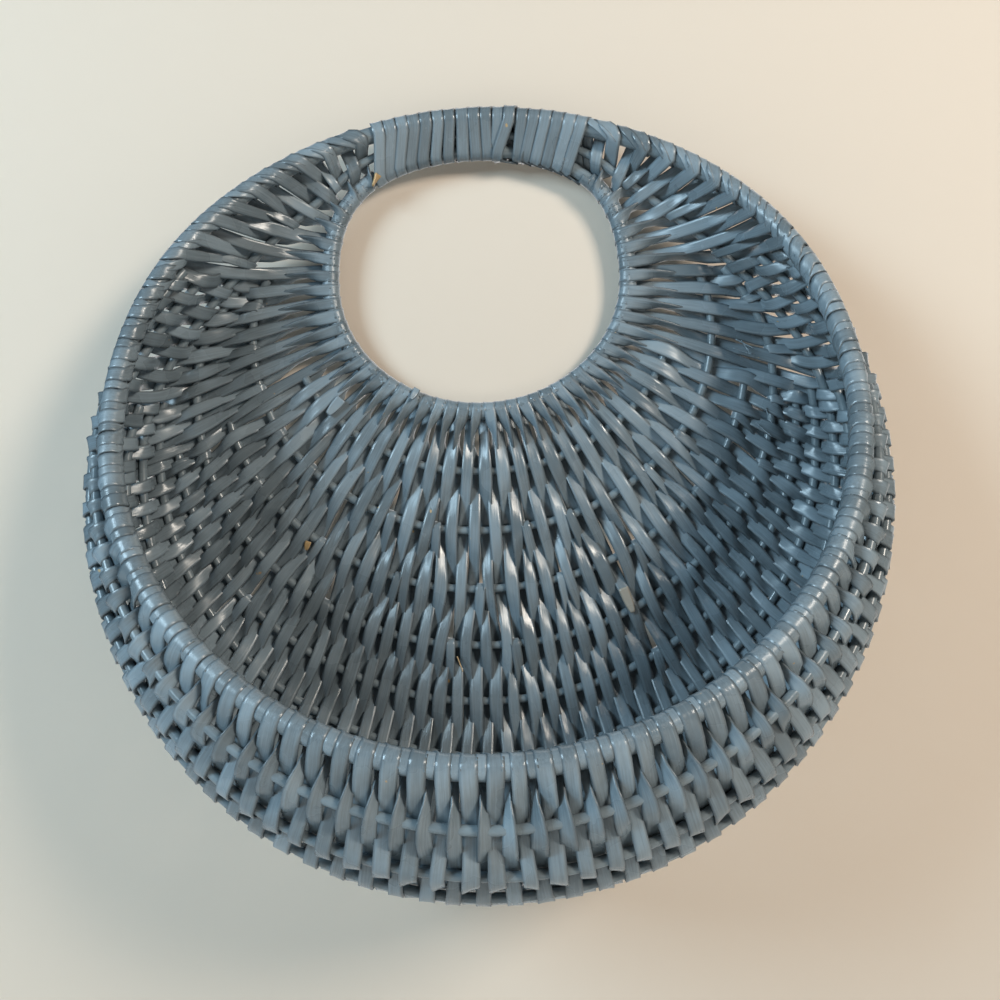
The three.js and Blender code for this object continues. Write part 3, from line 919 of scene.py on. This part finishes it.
def makeHandle():
    look = handleLook
    rng = random.Random(look["seed"])
    half = basketShape["handleLength"] / 2
    pitch = look["length"] / look["loops"]
    middle = half * weaveLook["handleShift"]

    def hoopAt(hoop, place):
        return rodCentre(hoop, (place / half * (rimEnd if hoop else holeEnd)) % (2 * math.pi))

    def ringPoint(hoop, turn, place, lift):
        step = look["tangentStep"]
        across = (hoopAt(hoop, place + step) - hoopAt(hoop, place - step)).normalized()
        rise = hoopAt(rimIndex, place) - hoopAt(0, place)
        rise = (rise - across * rise.dot(across)).normalized()
        radial = rise * math.cos(math.radians(turn)) + rise.cross(across) * math.sin(math.radians(turn))
        off = rodRadius(hoop) + weaveLook["thickness"] / 2 + lift
        return hoopAt(hoop, place) + radial * off, across

    # up the front, over the rim hoop, down the back and under the hole hoop
    stations = []
    for loop in range(look["loops"]):
        head = middle - look["length"] / 2 + (loop + 0.5) * pitch + rng.uniform(-1, 1) * look["stray"]
        after = head + pitch
        foot = head - look["slant"] * smooth(loop - look["openLoop"], *look["slantLoops"])
        lift = look["lift"] + rng.random() * look["liftSpread"]
        if loop == look["openLoop"]:
            foot -= look["openShift"]
            lift += look["openLift"]
        if loop > look["openLoop"]:
            foot += look["openSpread"] / (loop - look["openLoop"])
        width = look["width"] + rng.uniform(-1, 1) * look["widthSpread"]
        tone = rng.random()
        stops = [(0, turn, foot) for turn in look["footTurns"]]
        stops += [(rimIndex, turn, head) for turn in look["headTurns"]]
        stops += [(rimIndex, turn, mix(head, after, share)) for turn, share in look["backHeadTurns"]]
        stops += [(0, turn, mix(head, after, share)) for turn, share in look["backFootTurns"]]
        points = [ringPoint(hoop, turn, min(max(place, middle - half), middle + half), lift)
                  for hoop, turn, place in stops]
        for index, (centre, across) in enumerate(points):
            stations.append((centre, across, width, 0.0, tone))
            if index == len(look["footTurns"]) - 1:
                # the flat stretch from the hole hoop up to the rim hoop
                nextCentre = points[index + 1][0]
                for step in range(1, look["facetStations"] + 1):
                    share = step / (look["facetStations"] + 1)
                    stations.append((centre.lerp(nextCentre, share), across, width, 0.0, tone))
    bm, layer = startStrips()
    layStrip(bm, stations, layer)
    newPiece("handle_wrap", bm, "painted_binding", ["handle_binding"], (thicken, soften))
    print("handle bound")


makeHandle()


# Broken ends and frayed fibres that have come loose from the weave

looseLook = {
    "off": 0.5,                # over the strip that lies on the rod
    "layers": 1.5,             # thicknesses from the rod to the middle of a loose end
    "steps": 6,
    "tipWidth": 0.45,          # share of the width
    "fibreThickness": 0.3,
    "endNodes": ("weaver_04", "weaver_08", "weaver_09", "weaver_12"),
    "fibreNodes": ("weaver_02", "weaver_03", "weaver_07"),
    # rod, degrees from the handle, start and length along the row, width, slew, curl and tone,
    # where a tone of 2 is bare reed
    "ends": (
        (0, 325, -3.5, 6.0, 3.4, 40, 2.2, 2.0),
        (3, 224, 2.5, 4.5, 3.0, 0, -1.0, 1.7),
        (4, 152, -12.0, 13.0, 5.0, 8, 0.6, 1.35),
        (0, 209, -5.0, 6.0, 3.4, -12, 2.0, 0.9),
        (1, 234, -9.0, 10.0, 5.6, -10, 1.2, 1.0),
    ),
    "fibres": (
        (4, 189, 5.5, 8.0, 0.55, 22, 1.5, 2.0),
        (3, 88, -6.0, 10.0, 0.6, 12, 2.5, 1.0),
        (3, 89, -5.0, 9.0, 0.5, -16, 3.5, 0.9),
        (3, 90, -7.0, 11.0, 0.5, 24, 3.0, 1.0),
        (4, 101, -11.0, 9.0, 0.6, -18, 2.5, 1.0),
        (4, 103, -10.0, 10.0, 0.5, 10, 3.5, 0.9),
    ),
}


def looseStations(rod, degrees, start, length, width, slew, curl, tone):
    # lies along the row on the inside of the basket, and its tip curls away
    angle = math.radians(degrees)
    centre = rodCentre(rod, angle)
    across = rodTangent(rod, angle)
    way = (rodCentre(rod + 1, angle) - centre).normalized()
    inward = across.cross(way).normalized()
    turn = Matrix.Rotation(math.radians(slew), 3, inward)
    off = rodRadius(rod) + weaveLook["thickness"] * looseLook["layers"] + looseLook["off"]
    stations = []
    for step in range(looseLook["steps"] + 1):
        share = step / looseLook["steps"]
        point = centre + turn @ way * (start + length * share) + inward * (off + curl * share ** 2)
        tapered = mix(width, width * looseLook["tipWidth"], share ** 3)
        stations.append((point, turn @ across, tapered, 0.0, tone))
    return stations


def makeLooseEnds():
    for kind, thickness in (("end", weaveLook["thickness"]), ("fibre", looseLook["fibreThickness"])):
        bm, layer = startStrips()
        for loose in looseLook[kind + "s"]:
            layStrip(bm, looseStations(*loose), layer)
        newPiece(f"loose_{kind}s", bm, "painted_splint", looseLook[kind + "Nodes"],
                 (lambda piece: thicken(piece, thickness), soften))
    print("loose ends laid")


makeLooseEnds()


# Stage, in metres: pale floor, plain backdrop, soft lamps and the camera

stageLook = {
    "floorHeight": -0.46,
    "floorSize": 4.0,
    "backdropGap": 0.0015,     # behind the basket
    "backdropSize": 3.0,
    "floor": (0.72, 0.69, 0.65),
    "floorRoughness": 0.8,
    "backdrop": (0.59, 0.51, 0.43),
    "backdropRoughness": 0.9,
    "world": (1.0, 0.96, 0.90),
    "worldStrength": 0.075,
    "sky": (0.80, 0.79, 0.77),  # what the camera sees past the floor and the backdrop
}


def makePlane(name, size, matrix):
    bm = bmesh.new()
    bmesh.ops.create_grid(bm, x_segments=1, y_segments=1, size=size / 2, matrix=matrix)
    mesh = bpy.data.meshes.new(name)
    bm.to_mesh(mesh)
    bm.free()
    plane = bpy.data.objects.new(name, mesh)
    bpy.context.scene.collection.objects.link(plane)
    return plane


def makeStage():
    look = stageLook
    floor = makePlane("floor", look["floorSize"], Matrix.Translation((0, 0, look["floorHeight"])))
    floorPaint, tree, shader = startPaint("floorPaint")
    shader.inputs["Base Color"].default_value = (*look["floor"], 1)
    shader.inputs["Roughness"].default_value = look["floorRoughness"]
    floor.data.materials.append(floorPaint)
    back = cadBounds[1][1] + look["backdropGap"]
    upright = Matrix.Translation((0, back, 0)) @ Matrix.Rotation(math.radians(90), 4, "X")
    backdrop = makePlane("backdrop", look["backdropSize"], upright)
    # seen from its front alone, so that it stands in the way of no other view and of no lamp
    backdropPaint, tree, shader = startPaint("backdropPaint")
    shader.inputs["Base Color"].default_value = (*look["backdrop"], 1)
    shader.inputs["Roughness"].default_value = look["backdropRoughness"]
    path = addNode(tree, "ShaderNodeLightPath", (-600, 300))
    facing = addNode(tree, "ShaderNodeNewGeometry", (-600, 0))
    front = addNode(tree, "ShaderNodeMath", (-400, 0))
    front.operation = "SUBTRACT"
    front.inputs[0].default_value = 1
    tree.links.new(facing.outputs["Backfacing"], front.inputs[1])
    seen = addNode(tree, "ShaderNodeMath", (-200, 200))
    seen.operation = "MULTIPLY"
    tree.links.new(path.outputs["Is Camera Ray"], seen.inputs[0])
    tree.links.new(front.outputs[0], seen.inputs[1])
    clear = addNode(tree, "ShaderNodeBsdfTransparent", (0, -300))
    blend = addNode(tree, "ShaderNodeMixShader", (300, 0))
    tree.links.new(seen.outputs[0], blend.inputs[0])
    tree.links.new(clear.outputs[0], blend.inputs[1])
    tree.links.new(shader.outputs[0], blend.inputs[2])
    tree.links.new(blend.outputs[0], tree.nodes["Material Output"].inputs[0])
    backdrop.data.materials.append(backdropPaint)
    world = bpy.data.worlds.new("studio")
    world.use_nodes = True
    tree = world.node_tree
    glow = tree.nodes["Background"]
    glow.inputs[0].default_value = (*look["world"], 1)
    glow.inputs[1].default_value = look["worldStrength"]
    sky = addNode(tree, "ShaderNodeBackground", (0, -200), Color=(*look["sky"], 1))
    path = addNode(tree, "ShaderNodeLightPath", (0, 300))
    blend = addNode(tree, "ShaderNodeMixShader", (300, 0))
    tree.links.new(path.outputs["Is Camera Ray"], blend.inputs[0])
    tree.links.new(glow.outputs[0], blend.inputs[1])
    tree.links.new(sky.outputs[0], blend.inputs[2])
    tree.links.new(blend.outputs[0], tree.nodes["World Output"].inputs[0])
    bpy.context.scene.world = world
    print("stage set")


lampLook = {
    # place, aim, size, power, colour
    "key": ((0.85, -1.0, 0.35), (0, -0.05, -0.15), 0.35, 15.8, (1.0, 0.91, 0.80)),
    "window": ((-1.1, -0.95, 0.42), (0, -0.05, -0.18), 0.6, 24.0, (0.60, 0.84, 1.0)),
    "behind": ((0.3, 1.6, 0.45), (0, 0, -0.15), 3.2, 44.0, (1.0, 0.97, 0.94)),
}


def makeLamps():
    for name, (place, aim, size, power, colour) in lampLook.items():
        lamp = bpy.data.lights.new(name, "AREA")
        lamp.size = size
        lamp.energy = power
        lamp.color = colour
        holder = bpy.data.objects.new(name, lamp)
        holder.location = place
        holder.rotation_euler = (Vector(aim) - Vector(place)).to_track_quat("-Z", "Y").to_euler()
        bpy.context.scene.collection.objects.link(holder)
    print("lamps lit")


cameraLook = {
    "place": (0.0046, -0.4956, -0.1677),
    "lens": 36.0,
    "sensor": 36.0,
    "roll": 2.95,              # degrees
}


def makeCamera():
    camera = bpy.data.cameras.new("camera")
    camera.lens = cameraLook["lens"]
    camera.sensor_width = cameraLook["sensor"]
    holder = bpy.data.objects.new("camera", camera)
    holder.location = cameraLook["place"]
    holder.rotation_euler = (math.radians(90), math.radians(cameraLook["roll"]), 0)
    bpy.context.scene.collection.objects.link(holder)
    bpy.context.scene.camera = holder
    print("camera placed")


makeStage()
makeLamps()
makeCamera()
bpy.context.scene.view_settings.view_transform = "Standard"
